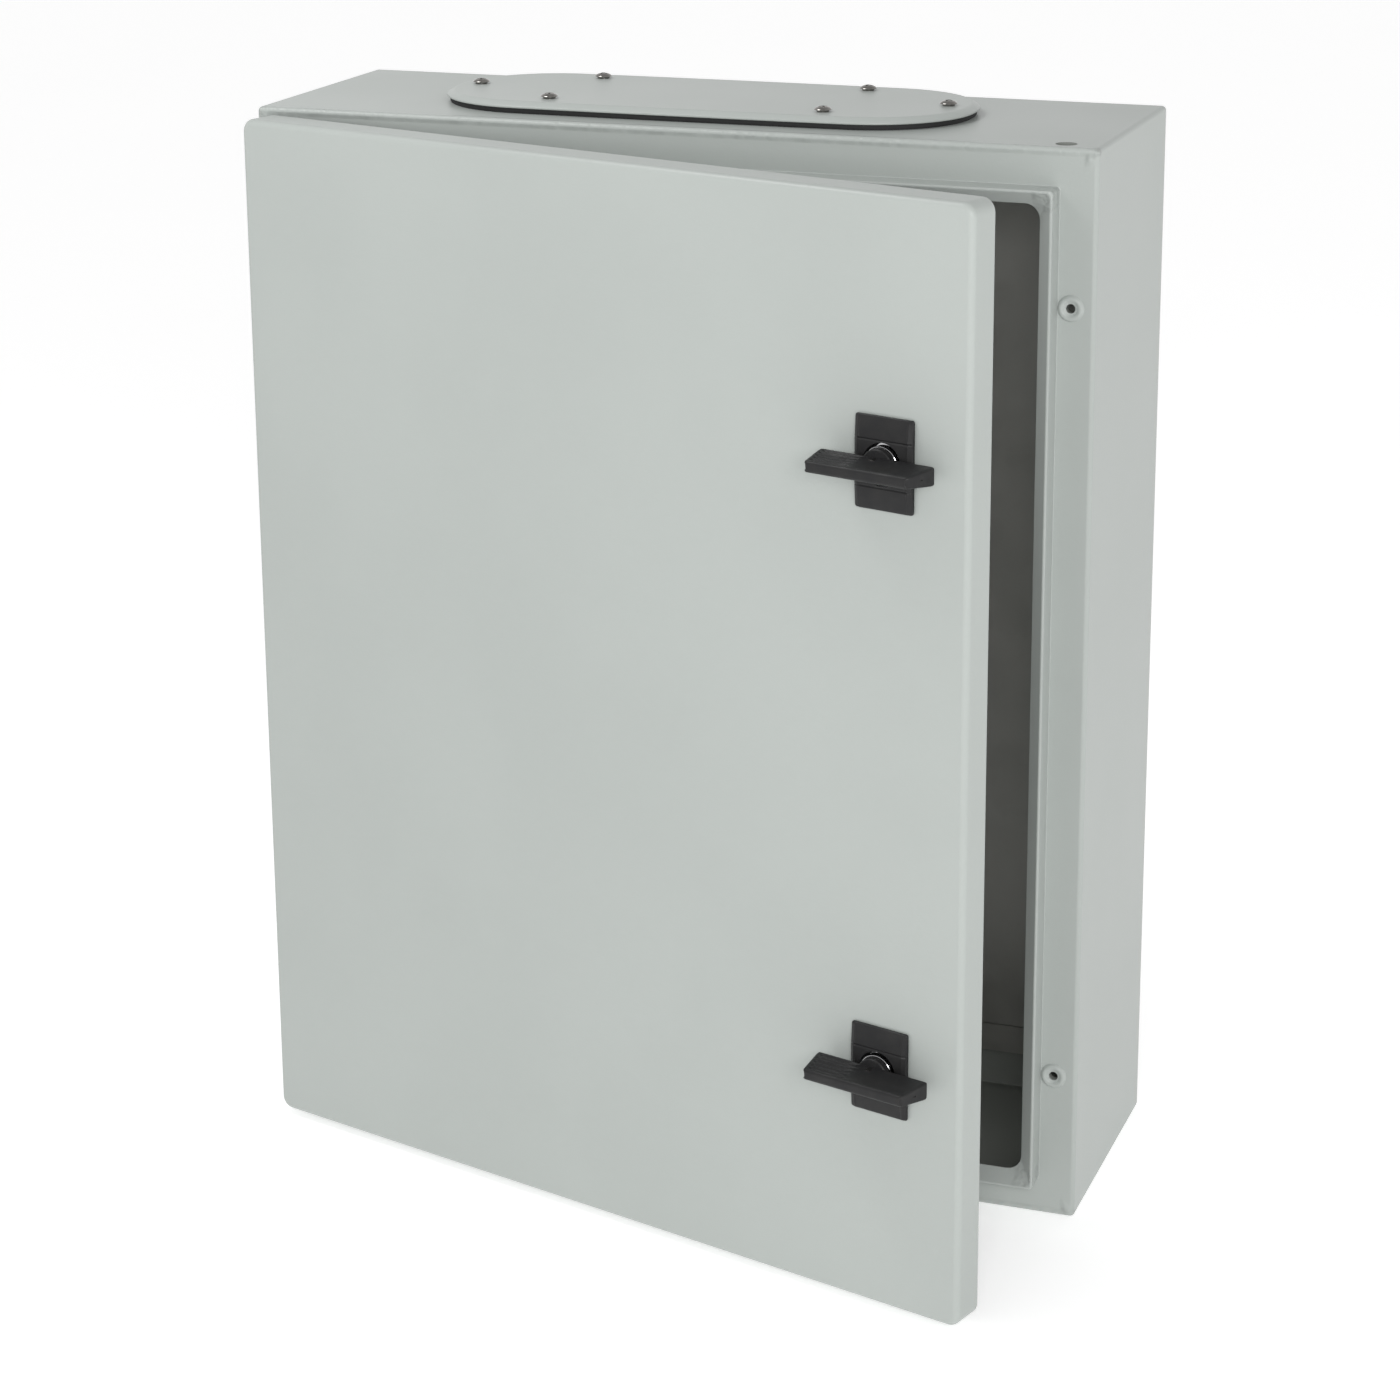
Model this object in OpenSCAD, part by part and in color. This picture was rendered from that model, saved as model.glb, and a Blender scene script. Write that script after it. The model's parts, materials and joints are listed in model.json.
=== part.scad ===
// Wall-mounting steel enclosure with a hinged door, two wing locks and a gland plate.
// The origin is the centre of the wall fixing holes, on the outside of the back.
// +Z is up, +X is to the right of a person facing the door, and -Y is towards that person.

/* [Body] */
// Width of the body
body_w = 400; // [360:1:600]
// Height of the body
body_h = 500; // [460:1:800]
// Depth from the back to the front flange
body_d = 131; // [110:1:240]
// Thickness of the folded sheet
sheet = 1.5; // [1.2:0.1:2]
// Outside radius of the bends
bend_r = 3; // [2.5:0.5:4]
// Distance from the side of the body to the lip
flange_w = 18; // [17:0.5:20]
// How far the lip stands in front of the flange
lip_h = 12.5; // [12:0.5:13]
// How far the lip's return leans inwards
lip_in = 5.7; // [5:0.1:6]

/* [Door] */
// Width of the door
door_w = 395; // [355:1:595]
// Height of the door
door_h = 494; // [454:1:794]
// Depth of the door over its rim
door_d = 16.5; // [16:0.5:17]
// Gap between the rim and the flange
door_gap = 2.5; // [2:0.5:3]
// Angle that the door stands open at rest
door_ajar = 16; // [0:1:40]

/* [Hinges] */
// Distance from the body's side to the hinge axis
axis_side = 7.5; // [7:0.1:8]
// Distance from the flange to the hinge axis
axis_front = 10.5; // [10:0.1:11]
// Height of each hinge above and below the middle
hinge_z = 180; // [120:1:200]
// Diameter of the hinge pin
pin_d = 4; // [3:0.5:4]
// Length of the hinge bracket
bracket_len = 40; // [36:1:44]

/* [Locks] */
// Distance from the middle of the body to the lock axis
lock_x = 157; // [150:0.5:157]
// Height of each lock above and below the middle
lock_z = 135; // [80:1:200]
// Width of the escutcheon
plate_w = 28.5; // [26:0.5:32]
// Height of the escutcheon
plate_h = 40; // [36:0.5:50]
// Length of the wing where it faces the door
wing_l = 55.5; // [45:0.5:60]
// Reach of the cam from the lock axis
cam_reach = 22.8; // [20:0.1:22.8]

/* [Gland plate] */
// Length of the gland plate
gland_l = 254; // [200:1:280]
// Width of the gland plate
gland_w = 100; // [80:1:110]
// Thickness of the gland gasket
gland_gasket_t = 2.5; // [1:0.5:4]
// Height of the gland plate above its gasket
gland_t = 3; // [2:0.5:4]

/* [Inside] */
// Width of the mounting plate
plate_in_w = 340; // [300:1:540]
// Height of the mounting plate
plate_in_h = 450; // [400:1:740]
// Distance between the plate's studs across the width
stud_x = 310; // [280:1:510]
// Distance between the plate's studs up the height
stud_z = 410; // [380:1:700]

/* [Wall fixing] */
// Distance between the wall holes across the width
wall_x = 360; // [340:1:560]
// Distance between the wall holes up the height
wall_z = 460; // [440:1:760]
// Diameter of the wall holes
wall_d = 8.5; // [6:0.5:9]

/* [Hidden] */
$fn = 48;
paint = [0.75, 0.77, 0.75];
black = [0.13, 0.13, 0.14];
steel = [0.72, 0.73, 0.74];
zinc = [0.66, 0.67, 0.69];
foam = [0.12, 0.12, 0.12];
eps = 0.02;

flange_y = -body_d;
lip_y = flange_y - lip_h;
rim_y = flange_y - door_gap;
face_y = rim_y - door_d;
skin_y = face_y + sheet;
axis_x = -body_w / 2 + axis_side;
axis_y = flange_y - axis_front;
lip_x = body_w / 2 - flange_w;
lip_z = body_h / 2 - flange_w;

// Raised thread bosses on the right flange
boss_x = body_w / 2 - 11;
boss_r = 6;
boss_rise = 1.2;
boss_deep = 2.3;
boss_core_r = 3.6;
tap_m5 = 2.1;

// Plain hole through the top near the right front corner
top_hole_r = 4.7;
top_hole_x = body_w / 2 - 17;
top_hole_y = flange_y + 10;

// Gland plate fastening
gland_y = -body_d / 2 - 0.5;
gland_top = body_h / 2 + gland_gasket_t + gland_t;
gland_cut_l = 214;
gland_cut_w = 54;
gland_hole_r = 2.7;
gland_screw_r = 2;
gland_screw_len = 16;
gland_nut_w = 9;
gland_nut_t = 3.5;
gland_points = [[-114.5, 0], [114.5, 0], [-66, -34], [66, -34], [-66, 34], [66, 34]];

// Door gasket
gasket_w = 11;
gasket_t = 4.7;
gasket_x = lip_x + 4;
gasket_z = lip_z + 4;

// Notch in the hinge side of the rim
notch_len = bracket_len + 6;
notch_deep = door_d - sheet - 0.5;
knuckle_r = 3.3;
ear_t = 3;
ear_z = 14.5;
leaf_gap = 0.3;
leaf_len = 9;

// Lock pieces, from the front to the back
seal_t = 0.6;
plate_t = 3;
hole_r = 10.3;
barrel_r = 9.9;
collar_r = 11;
collar_t = 1.6;
spindle_r = 6;
wing_back = 6.5;
wing_deep = 17;
stub_r = 4;
cam_t = 3;
cam_y = flange_y - 2;
cam_sq = 8;
plate_face_y = face_y - seal_t - plate_t;
wing_y = face_y - wing_back;

// Heights of the studs and washers inside
plate_gap = 12;
plate_in_t = 2;
stud_len = 30.5;
stud_r = 4;
nut_t = 6.5;
washer_t = 1.6;

// Earth studs on the left wall and on the door, with their washers and nuts
body_earth_y = -95;
body_earth_z = -215;
door_earth_x = -150;
door_earth_z = -205;
earth_r = 3;
earth_washer_r = 6.5;
earth_washer_t = 1.4;
earth_nut_r = 5.77;
earth_nut_t = 5;

// Box with all twelve edges rounded, standing on the back plane and reaching forwards
module rounded_block(w, h, d, r) {
    intersection() {
        translate([0, -d / 2, -h / 2]) linear_extrude(h) rounded_rect(w, d, r);
        translate([-w / 2, -d / 2, 0]) rotate([90, 0, 90]) linear_extrude(w) rounded_rect(d, h, r);
        rotate([90, 0, 0]) linear_extrude(d) rounded_rect(w, h, r);
    }
}

// Rectangle with round corners about the origin
module rounded_rect(w, h, r) {
    square([w, h - 2 * r], center = true);
    square([w - 2 * r, h], center = true);
    for (sx = [-1, 1], sy = [-1, 1]) {
        translate([sx * (w / 2 - r), sy * (h / 2 - r)]) circle(r);
    }
}

// Slot outline with round ends along X
module stadium(l, w) {
    square([l - w, w], center = true);
    for (s = [-1, 1]) translate([s * (l - w) / 2, 0]) circle(w / 2);
}

// Cylinder along Y from front to back
module rod_y(x, z, y0, y1, r) {
    translate([x, y1, z]) rotate([90, 0, 0]) cylinder(h = y1 - y0, r = r);
}

// Outline of the lip and its sloping return, drawn inwards and forwards
module lip_outline() {
    polygon([
        [0, -sheet], [0, lip_h - 1.2], [1.2, lip_h], [2.4, lip_h],
        [lip_in, 4], [lip_in, 2.5], [lip_in - 1.3, 2.5], [lip_in - 1.3, 3.6],
        [1.5, lip_h - 2], [1.5, -sheet]
    ]);
}

// One straight length of the lip on the right side
module lip_side(len, reach) {
    translate([reach, flange_y, -len / 2])
        mirror([1, 0, 0]) mirror([0, 1, 0]) linear_extrude(len) lip_outline();
}

// Rain lip all round the front opening, folded from the body
module rain_lip() {
    color(paint) {
        for (s = [0, 1]) mirror([s, 0, 0]) lip_side(2 * lip_z, lip_x);
        for (s = [0, 1]) mirror([0, 0, s]) rotate([0, -90, 0]) lip_side(2 * lip_x, lip_z);
    }
}

// Folded and welded box of sheet, open where the rain lip frames the front
module folded_box() {
    difference() {
        rounded_block(body_w, body_h, body_d, bend_r);
        translate([0, -sheet, 0])
            rounded_block(body_w - 2 * sheet, body_h - 2 * sheet,
                body_d - 2 * sheet, bend_r - sheet);
        translate([0, flange_y + 2 * sheet, 0]) rotate([90, 0, 0])
            linear_extrude(4 * sheet) square([2 * lip_x, 2 * lip_z], center = true);
    }
}

// Everything behind the front bend
module behind_bend() {
    translate([-body_w, flange_y + bend_r, -body_h]) cube([2 * body_w, body_d, 2 * body_h]);
}

// Back and four sides, with the gland opening and the wall holes
module body_shell() {
    color(paint) difference() {
        intersection() {
            folded_box();
            behind_bend();
        }
        for (sx = [-1, 1], sz = [-1, 1]) {
            rod_y(sx * wall_x / 2, sz * wall_z / 2, -5, 5, wall_d / 2);
        }
        translate([0, gland_y, body_h / 2 - 5]) linear_extrude(10)
            stadium(gland_cut_l, gland_cut_w);
        for (p = gland_points) {
            translate([p[0], gland_y + p[1], body_h / 2 - 5]) cylinder(h = 10, r = gland_hole_r);
        }
        translate([top_hole_x, top_hole_y, body_h / 2 - 5]) cylinder(h = 10, r = top_hole_r);
    }
}

// Front flange with its bend and the thread bosses for either hinge side
module front_flange() {
    color(paint) difference() {
        union() {
            difference() {
                folded_box();
                behind_bend();
            }
            for (s = [-1, 1]) {
                rod_y(boss_x, s * hinge_z, flange_y - boss_rise, flange_y + 0.5, boss_r);
                rod_y(boss_x, s * hinge_z, flange_y, flange_y + boss_deep + sheet, boss_core_r);
                rod_y(-boss_x, s * hinge_z, flange_y + 0.5, flange_y + boss_deep + sheet, boss_core_r);
            }
        }
        for (sx = [-1, 1], s = [-1, 1]) {
            rod_y(sx * boss_x, s * hinge_z, flange_y - 5, flange_y + 10, tap_m5);
        }
    }
}

// Plate that the apparatus is fixed to, folded back along both sides
module mounting_plate() {
    back_y = -sheet - plate_gap;
    fold = 9;
    color(zinc) difference() {
        union() {
            translate([-plate_in_w / 2, back_y - plate_in_t, -plate_in_h / 2])
                cube([plate_in_w, plate_in_t, plate_in_h]);
            for (s = [0, 1]) mirror([s, 0, 0])
                translate([plate_in_w / 2 - plate_in_t, back_y - eps, -plate_in_h / 2 + 25])
                    cube([plate_in_t, fold, plate_in_h - 50]);
        }
        for (sx = [-1, 1], sz = [-1, 1]) {
            rod_y(sx * stud_x / 2, sz * stud_z / 2, back_y - 10, back_y + 10, 4.5);
        }
    }
}

// The four welded studs share one module with their sleeves, washers and nuts
module at_studs() {
    for (sx = [-1, 1], sz = [-1, 1]) translate([sx * stud_x / 2, 0, sz * stud_z / 2]) children();
}

module plate_studs() {
    color(steel) at_studs() rod_y(0, 0, -sheet - stud_len, -sheet, stud_r);
}

module plate_spacers() {
    color(zinc) at_studs() difference() {
        rod_y(0, 0, -sheet - plate_gap, -sheet, 7);
        rod_y(0, 0, -sheet - plate_gap - 1, -sheet + 1, stud_r + 0.1);
    }
}

module plate_washers() {
    front = -sheet - plate_gap - plate_in_t;
    color(steel) at_studs() difference() {
        rod_y(0, 0, front - washer_t, front, 8);
        rod_y(0, 0, front - 3, front + 1, stud_r + 0.2);
    }
}

module plate_nuts() {
    front = -sheet - plate_gap - plate_in_t - washer_t;
    color(steel) at_studs() difference() {
        translate([0, front, 0]) rotate([90, 0, 0]) cylinder(h = nut_t, r = 7.5, $fn = 6);
        rod_y(0, 0, front - nut_t - 1, front + 1, stud_r + eps);
    }
}

// Cable entry plate with a bevelled edge
module gland_plate() {
    bottom = body_h / 2 + gland_gasket_t;
    color(paint) difference() {
        union() {
            translate([0, gland_y, bottom]) linear_extrude(1.5) stadium(gland_l, gland_w);
            translate([0, gland_y, bottom]) linear_extrude(gland_t)
                stadium(gland_l - 5, gland_w - 5);
        }
        translate([0, gland_y, bottom - eps]) linear_extrude(gland_t - 1.5)
            stadium(gland_l - 44, gland_w - 44);
        for (p = gland_points) {
            translate([p[0], gland_y + p[1], bottom - 1]) cylinder(h = 10, r = 2.3);
        }
    }
}

module gland_gasket() {
    color(foam) difference() {
        translate([0, gland_y, body_h / 2]) linear_extrude(gland_gasket_t)
            stadium(gland_l - 3, gland_w - 3);
        translate([0, gland_y, body_h / 2 - 1]) linear_extrude(gland_gasket_t + 2)
            stadium(gland_cut_l, gland_cut_w);
        for (p = gland_points) {
            translate([p[0], gland_y + p[1], body_h / 2 - 1]) cylinder(h = 10, r = 2.5);
        }
    }
}

// Six cross-recess pan head screws
module gland_screws() {
    color(steel) for (p = gland_points) translate([p[0], gland_y + p[1], gland_top]) {
        difference() {
            pan_head(4, 2.6);
            for (a = [0, 90]) rotate([0, 0, a])
                translate([-2, -0.4, 1.2]) cube([4, 0.8, 3]);
        }
        translate([0, 0, -gland_screw_len])
            cylinder(h = gland_screw_len + eps, r = gland_screw_r);
    }
}

// Domed screw head of radius r and height h on the XY plane
module pan_head(r, h) {
    cap = (r * r + h * h) / (2 * h);
    intersection() {
        cylinder(h = h, r = r);
        translate([0, 0, h - cap]) sphere(cap);
    }
}

// Square nuts under the top of the body
module gland_nuts() {
    color(steel) for (p = gland_points) difference() {
        translate([p[0], gland_y + p[1], body_h / 2 - sheet - gland_nut_t / 2])
            cube([gland_nut_w, gland_nut_w, gland_nut_t], center = true);
        translate([p[0], gland_y + p[1], body_h / 2 - 10])
            cylinder(h = 12, r = gland_screw_r + eps);
    }
}

// Earth stud on the inside of the left wall
module body_earth(from, to, r) {
    translate([-body_w / 2 + sheet + from, body_earth_y, body_earth_z]) rotate([0, 90, 0])
        cylinder(h = to - from, r = r);
}

module body_earth_stud() {
    color(zinc) body_earth(0, 18, earth_r);
}

module body_earth_washer() {
    color(zinc) difference() {
        body_earth(3, 3 + earth_washer_t, earth_washer_r);
        body_earth(2, 6, earth_r + 0.1);
    }
}

module body_earth_nut() {
    color(zinc) difference() {
        body_earth(3 + earth_washer_t, 3 + earth_washer_t + earth_nut_t, earth_nut_r, $fn = 6);
        body_earth(3, 12, earth_r + eps);
    }
}

// Ear of the hinge bracket, drawn about the hinge axis
module ear_outline() {
    circle(knuckle_r);
    translate([-knuckle_r, 0]) square([2 * knuckle_r, axis_front - 1]);
    polygon([[2, -knuckle_r + 1], [9, axis_front - 2.5], [9, axis_front - 1], [2, axis_front - 1]]);
}

// Bracket on the left flange that carries the pin between two ears
module hinge_bracket(z) {
    base_y = flange_y - 2;
    color(paint) difference() {
        union() {
            translate([axis_x - 4, base_y, z - bracket_len / 2]) cube([13, 2, bracket_len]);
            for (s = [-1, 1]) {
                translate([axis_x, axis_y, z + s * (ear_z + ear_t / 2) - ear_t / 2])
                    linear_extrude(ear_t) ear_outline();
            }
        }
        rod_y(-boss_x, z, flange_y - 6, flange_y + 2, 2.75);
        translate([axis_x, axis_y, z - 30]) cylinder(h = 60, r = pin_d / 2 + eps);
    }
}

module hinge_pin(z) {
    top = z + ear_z + ear_t;
    color(steel) {
        translate([axis_x, axis_y, z - ear_z - ear_t - 1.5])
            cylinder(h = 2 * (ear_z + ear_t) + 1.5 + eps, r = pin_d / 2);
        translate([axis_x, axis_y, top]) cylinder(h = 1.4, r = 3.2);
    }
}

module hinge_screw(z) {
    color(steel) {
        difference() {
            translate([-boss_x, flange_y - 2, z]) rotate([90, 0, 0]) pan_head(4.6, 2.8);
            translate([-boss_x, flange_y - 6, z])
                for (a = [0, 90]) rotate([0, a, 0]) translate([-2, 0, -0.4]) cube([4, 2.4, 0.8]);
        }
        rod_y(-boss_x, z, flange_y - 2 - eps, flange_y + 7, 2.08);
    }
}

// Turns the closed door about the hinge axis to where it stands at rest
module on_door() {
    translate([axis_x, axis_y, 0]) rotate([0, 0, -door_ajar])
        translate([-axis_x, -axis_y, 0]) children();
}

// Tray-shaped door, notched beside both hinges and bored for both locks
module door_panel() {
    rim = [door_w - 2 * sheet, door_h - 2 * sheet];
    color(paint) on_door() difference() {
        translate([0, rim_y + bend_r, 0])
            rounded_block(door_w, door_h, door_d + bend_r, bend_r);
        translate([0, rim_y + 10, 0]) rounded_block(rim[0], rim[1], door_d - sheet + 10, sheet);
        translate([-body_w, rim_y, -body_h]) cube([2 * body_w, 40, 2 * body_h]);
        for (s = [-1, 1]) {
            translate([-door_w / 2 - 1, rim_y - notch_deep, s * hinge_z - notch_len / 2])
                cube([sheet + 2, notch_deep + 10, notch_len]);
            rod_y(lock_x, s * lock_z, face_y - 5, face_y + 5, hole_r);
        }
    }
}

// Foamed ring that closes on the lip
module door_gasket() {
    color(foam) on_door() translate([0, skin_y + gasket_t, 0]) rotate([90, 0, 0])
        linear_extrude(gasket_t) difference() {
            rounded_rect(2 * gasket_x, 2 * gasket_z, 5);
            square([2 * (gasket_x - gasket_w), 2 * (gasket_z - gasket_w)], center = true);
        }
}

// Door half of a hinge: a foot on the skin and two knuckles round the pin
module hinge_leaf(z) {
    foot_y = skin_y - axis_y;
    color(paint) on_door() translate([axis_x, axis_y, z]) difference() {
        union() {
            translate([sheet - knuckle_r, foot_y, -18]) cube([8.6 - sheet, 1.5, 36]);
            for (s = [-1, 1]) {
                middle = s * (ear_z - leaf_gap - leaf_len / 2);
                translate([0, 0, middle - leaf_len / 2]) cylinder(h = leaf_len, r = knuckle_r);
                translate([-1.5, foot_y + 0.5, middle - leaf_len / 2])
                    cube([3, -foot_y - 0.5, leaf_len]);
            }
        }
        translate([0, 0, -30]) cylinder(h = 60, r = pin_d / 2 + 0.06);
    }
}

// Earth stud on the back of the door skin
module door_earth_stud() {
    color(zinc) on_door() rod_y(door_earth_x, door_earth_z, skin_y, skin_y + 14, earth_r);
}

module door_earth_washer() {
    washer_y = skin_y + 2.5;
    color(zinc) on_door() difference() {
        rod_y(door_earth_x, door_earth_z, washer_y, washer_y + earth_washer_t, earth_washer_r);
        rod_y(door_earth_x, door_earth_z, skin_y, skin_y + 8, earth_r + 0.1);
    }
}

module door_earth_nut() {
    nut_y = skin_y + 2.5 + earth_washer_t;
    color(zinc) on_door() difference() {
        rod_y(door_earth_x, door_earth_z, nut_y, nut_y + earth_nut_t, earth_nut_r, $fn = 6);
        rod_y(door_earth_x, door_earth_z, skin_y, skin_y + 12, earth_r + eps);
    }
}

// Side profile of the escutcheon, thickest across the middle
module escutcheon_outline() {
    polygon([
        [0, -plate_h / 2], [1.4, -plate_h / 2], [plate_t, -plate_h / 4],
        [plate_t, plate_h / 4], [1.4, plate_h / 2], [0, plate_h / 2]
    ]);
}

module escutcheon(z) {
    color(black) on_door() difference() {
        translate([lock_x - plate_w / 2, face_y - seal_t, z])
            rotate([90, 0, 90]) linear_extrude(plate_w) mirror([1, 0]) escutcheon_outline();
        rod_y(lock_x, z, face_y - 8, face_y + 2, hole_r - 0.2);
    }
}

module lock_seal(z) {
    color(foam) on_door() difference() {
        translate([lock_x - plate_w / 2 + 1, face_y - seal_t, z - plate_h / 2 + 1])
            cube([plate_w - 2, seal_t, plate_h - 2]);
        rod_y(lock_x, z, face_y - 4, face_y + 2, hole_r);
    }
}

// Fixed barrel: a bright collar on the escutcheon and a threaded tube through the door
module lock_barrel(z) {
    color(steel) on_door() difference() {
        union() {
            rod_y(lock_x, z, plate_face_y - collar_t, plate_face_y, collar_r);
            rod_y(lock_x, z, plate_face_y - eps, skin_y + 9, barrel_r);
        }
        rod_y(lock_x, z, face_y - 20, skin_y + 20, spindle_r + 0.06);
    }
}

module lock_nut(z) {
    color(zinc) on_door() difference() {
        translate([lock_x, skin_y + 5, z]) rotate([90, 0, 0]) cylinder(h = 5, r = 15.6, $fn = 6);
        rod_y(lock_x, z, skin_y - 2, skin_y + 8, barrel_r + eps);
    }
}

// Wing outline seen from the front edge, longer where it faces the door
module wing_plan() {
    front_l = wing_l - 7;
    polygon([
        [-wing_l / 2, 0], [wing_l / 2, 0], [wing_l / 2, 2.5], [front_l / 2 + 1, wing_deep - 1],
        [front_l / 2, wing_deep], [-front_l / 2, wing_deep], [-front_l / 2 - 1, wing_deep - 1],
        [-wing_l / 2, 2.5]
    ]);
}

// Wing outline seen from its end, thicker where it faces the door
module wing_section() {
    polygon([
        [0, -4.1], [wing_deep - 2, -2.6], [wing_deep, -1.8],
        [wing_deep, 1.8], [wing_deep - 2, 2.6], [0, 4.1]
    ]);
}

module wing(z) {
    hub_r = 7.5;
    color(black) on_door() difference() {
        union() {
            translate([lock_x, wing_y, z]) intersection() {
                translate([0, 0, -10]) mirror([0, 1, 0]) linear_extrude(20) wing_plan();
                translate([-wing_l, 0, 0]) rotate([90, 0, 90]) linear_extrude(2 * wing_l)
                    mirror([1, 0]) wing_section();
            }
            rod_y(lock_x, z, wing_y - 6, plate_face_y - collar_t - 0.3, hub_r);
        }
        rod_y(lock_x, z, wing_y - 5, face_y, stub_r + eps);
    }
}

// Turning spindle that joins the wing to the cam
module lock_spindle(z) {
    shoulder = plate_face_y - collar_t + 0.3;
    color(steel) on_door() difference() {
        union() {
            rod_y(lock_x, z, shoulder, cam_y, spindle_r);
            rod_y(lock_x, z, wing_y - 4.8, shoulder + eps, stub_r);
            translate([lock_x - cam_sq / 2, cam_y - eps, z - cam_sq / 2])
                cube([cam_sq, cam_t, cam_sq]);
        }
        rod_y(lock_x, z, cam_y - 11, cam_y + 10, 2.52);
    }
}

// Steel cam, pointing up while the wing lies level
module cam(z) {
    sq = cam_sq + 2 * eps;
    color(zinc) on_door() translate([lock_x, cam_y + cam_t, z]) rotate([90, 0, 0])
        linear_extrude(cam_t) difference() {
            union() {
                circle(9);
                translate([-8, 0]) square([16, cam_reach - 3]);
                translate([-5, 0]) square([10, cam_reach]);
                for (s = [-1, 1]) translate([s * 5, cam_reach - 3]) circle(3);
            }
            square([sq, sq], center = true);
        }
}

module cam_washer(z) {
    color(steel) on_door() difference() {
        rod_y(lock_x, z, cam_y + cam_t, cam_y + cam_t + 1.2, 7);
        rod_y(lock_x, z, cam_y, cam_y + 10, 2.7);
    }
}

module cam_bolt(z) {
    seat = cam_y + cam_t + 1.2;
    color(steel) on_door() {
        translate([lock_x, seat + 3.5, z]) rotate([90, 0, 0])
            cylinder(h = 3.5, r = 4.62, $fn = 6);
        rod_y(lock_x, z, seat - 12, seat + eps, 2.5);
    }
}

body_shell();
front_flange();
rain_lip();
mounting_plate();
plate_studs();
plate_spacers();
plate_washers();
plate_nuts();
gland_plate();
gland_gasket();
gland_screws();
gland_nuts();
body_earth_stud();
body_earth_washer();
body_earth_nut();
hinge_bracket(hinge_z);  // hinge_bracket_upper
hinge_bracket(-hinge_z);  // hinge_bracket_lower
hinge_pin(hinge_z);  // hinge_pin_upper
hinge_pin(-hinge_z);  // hinge_pin_lower
hinge_screw(hinge_z);  // hinge_screw_upper
hinge_screw(-hinge_z);  // hinge_screw_lower
door_panel();
door_gasket();
hinge_leaf(hinge_z);  // hinge_leaf_upper
hinge_leaf(-hinge_z);  // hinge_leaf_lower
door_earth_stud();
door_earth_washer();
door_earth_nut();
escutcheon(lock_z);  // escutcheon_upper
escutcheon(-lock_z);  // escutcheon_lower
lock_seal(lock_z);  // lock_seal_upper
lock_seal(-lock_z);  // lock_seal_lower
lock_barrel(lock_z);  // lock_barrel_upper
lock_barrel(-lock_z);  // lock_barrel_lower
lock_nut(lock_z);  // lock_nut_upper
lock_nut(-lock_z);  // lock_nut_lower
wing(lock_z);  // wing_upper
wing(-lock_z);  // wing_lower
lock_spindle(lock_z);  // lock_spindle_upper
lock_spindle(-lock_z);  // lock_spindle_lower
cam(lock_z);  // cam_upper
cam(-lock_z);  // cam_lower
cam_washer(lock_z);  // cam_washer_upper
cam_washer(-lock_z);  // cam_washer_lower
cam_bolt(lock_z);  // cam_bolt_upper
cam_bolt(-lock_z);  // cam_bolt_lower
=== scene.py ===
"""Sheet steel wall enclosure with its door ajar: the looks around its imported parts.

Every new piece is a surface computed on a grid with numpy. Lengths are in metres, and MM
turns the shop drawing's millimetres into them. +X is right, +Z up and -Y the front.
"""
import json
import math

import bpy
import numpy as np
from mathutils import Matrix, Vector


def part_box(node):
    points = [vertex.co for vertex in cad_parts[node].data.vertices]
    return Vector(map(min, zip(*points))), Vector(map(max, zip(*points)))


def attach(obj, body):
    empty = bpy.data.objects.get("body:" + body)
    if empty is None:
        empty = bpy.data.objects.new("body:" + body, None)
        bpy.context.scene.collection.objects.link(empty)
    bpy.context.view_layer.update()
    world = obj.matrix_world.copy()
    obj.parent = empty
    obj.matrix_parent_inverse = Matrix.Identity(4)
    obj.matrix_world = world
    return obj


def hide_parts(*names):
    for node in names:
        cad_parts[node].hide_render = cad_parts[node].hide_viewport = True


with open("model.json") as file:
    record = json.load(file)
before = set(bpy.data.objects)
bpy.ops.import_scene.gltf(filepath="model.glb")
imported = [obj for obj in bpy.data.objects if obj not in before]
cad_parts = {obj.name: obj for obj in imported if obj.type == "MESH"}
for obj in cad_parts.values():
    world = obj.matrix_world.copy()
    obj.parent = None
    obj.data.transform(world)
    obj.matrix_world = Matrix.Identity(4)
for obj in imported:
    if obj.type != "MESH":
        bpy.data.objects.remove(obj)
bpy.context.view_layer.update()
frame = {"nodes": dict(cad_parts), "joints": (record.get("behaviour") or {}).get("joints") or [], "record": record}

MM = 0.001
SHEET = 1.5 * MM
BEND = 3 * MM
BODY_BEND = 2.2 * MM
WHITE = (1.0, 1.0, 1.0, 1.0)
# Left low, left high, right low, right high: most things on this box come in fours.
QUARTERS = [(side, level) for side in (-1, 1) for level in (-1, 1)]
NODES = frame["nodes"]
HINGE = next(j for j in frame["joints"] if j["name"] == "door_hinge")
PIVOT = np.array(HINGE["pos_m"], float)
AJAR = math.radians(-HINGE["range_deg"][0])


# ---------------------------------------------------------------- places from the frame

def swing(points, angle):
    """Points turned about the upright hinge axis: x and y by the plane rotation, z kept."""
    c, s = math.cos(angle), math.sin(angle)
    p = np.asarray(points, float) - PIVOT
    return PIVOT + np.stack([p[..., 0] * c - p[..., 1] * s,
                             p[..., 0] * s + p[..., 1] * c, p[..., 2]], -1)


def ajar(points):
    """Points of the shut door, carried to where the door stands at rest."""
    return swing(points, -AJAR)


def shut_box(node):
    """Lowest and highest corner of a door node with the door shut."""
    mesh = NODES[node].data
    co = np.empty(len(mesh.vertices) * 3)
    mesh.vertices.foreach_get("co", co)
    co = swing(co.reshape(-1, 3), AJAR)
    return co.min(0), co.max(0)


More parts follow.
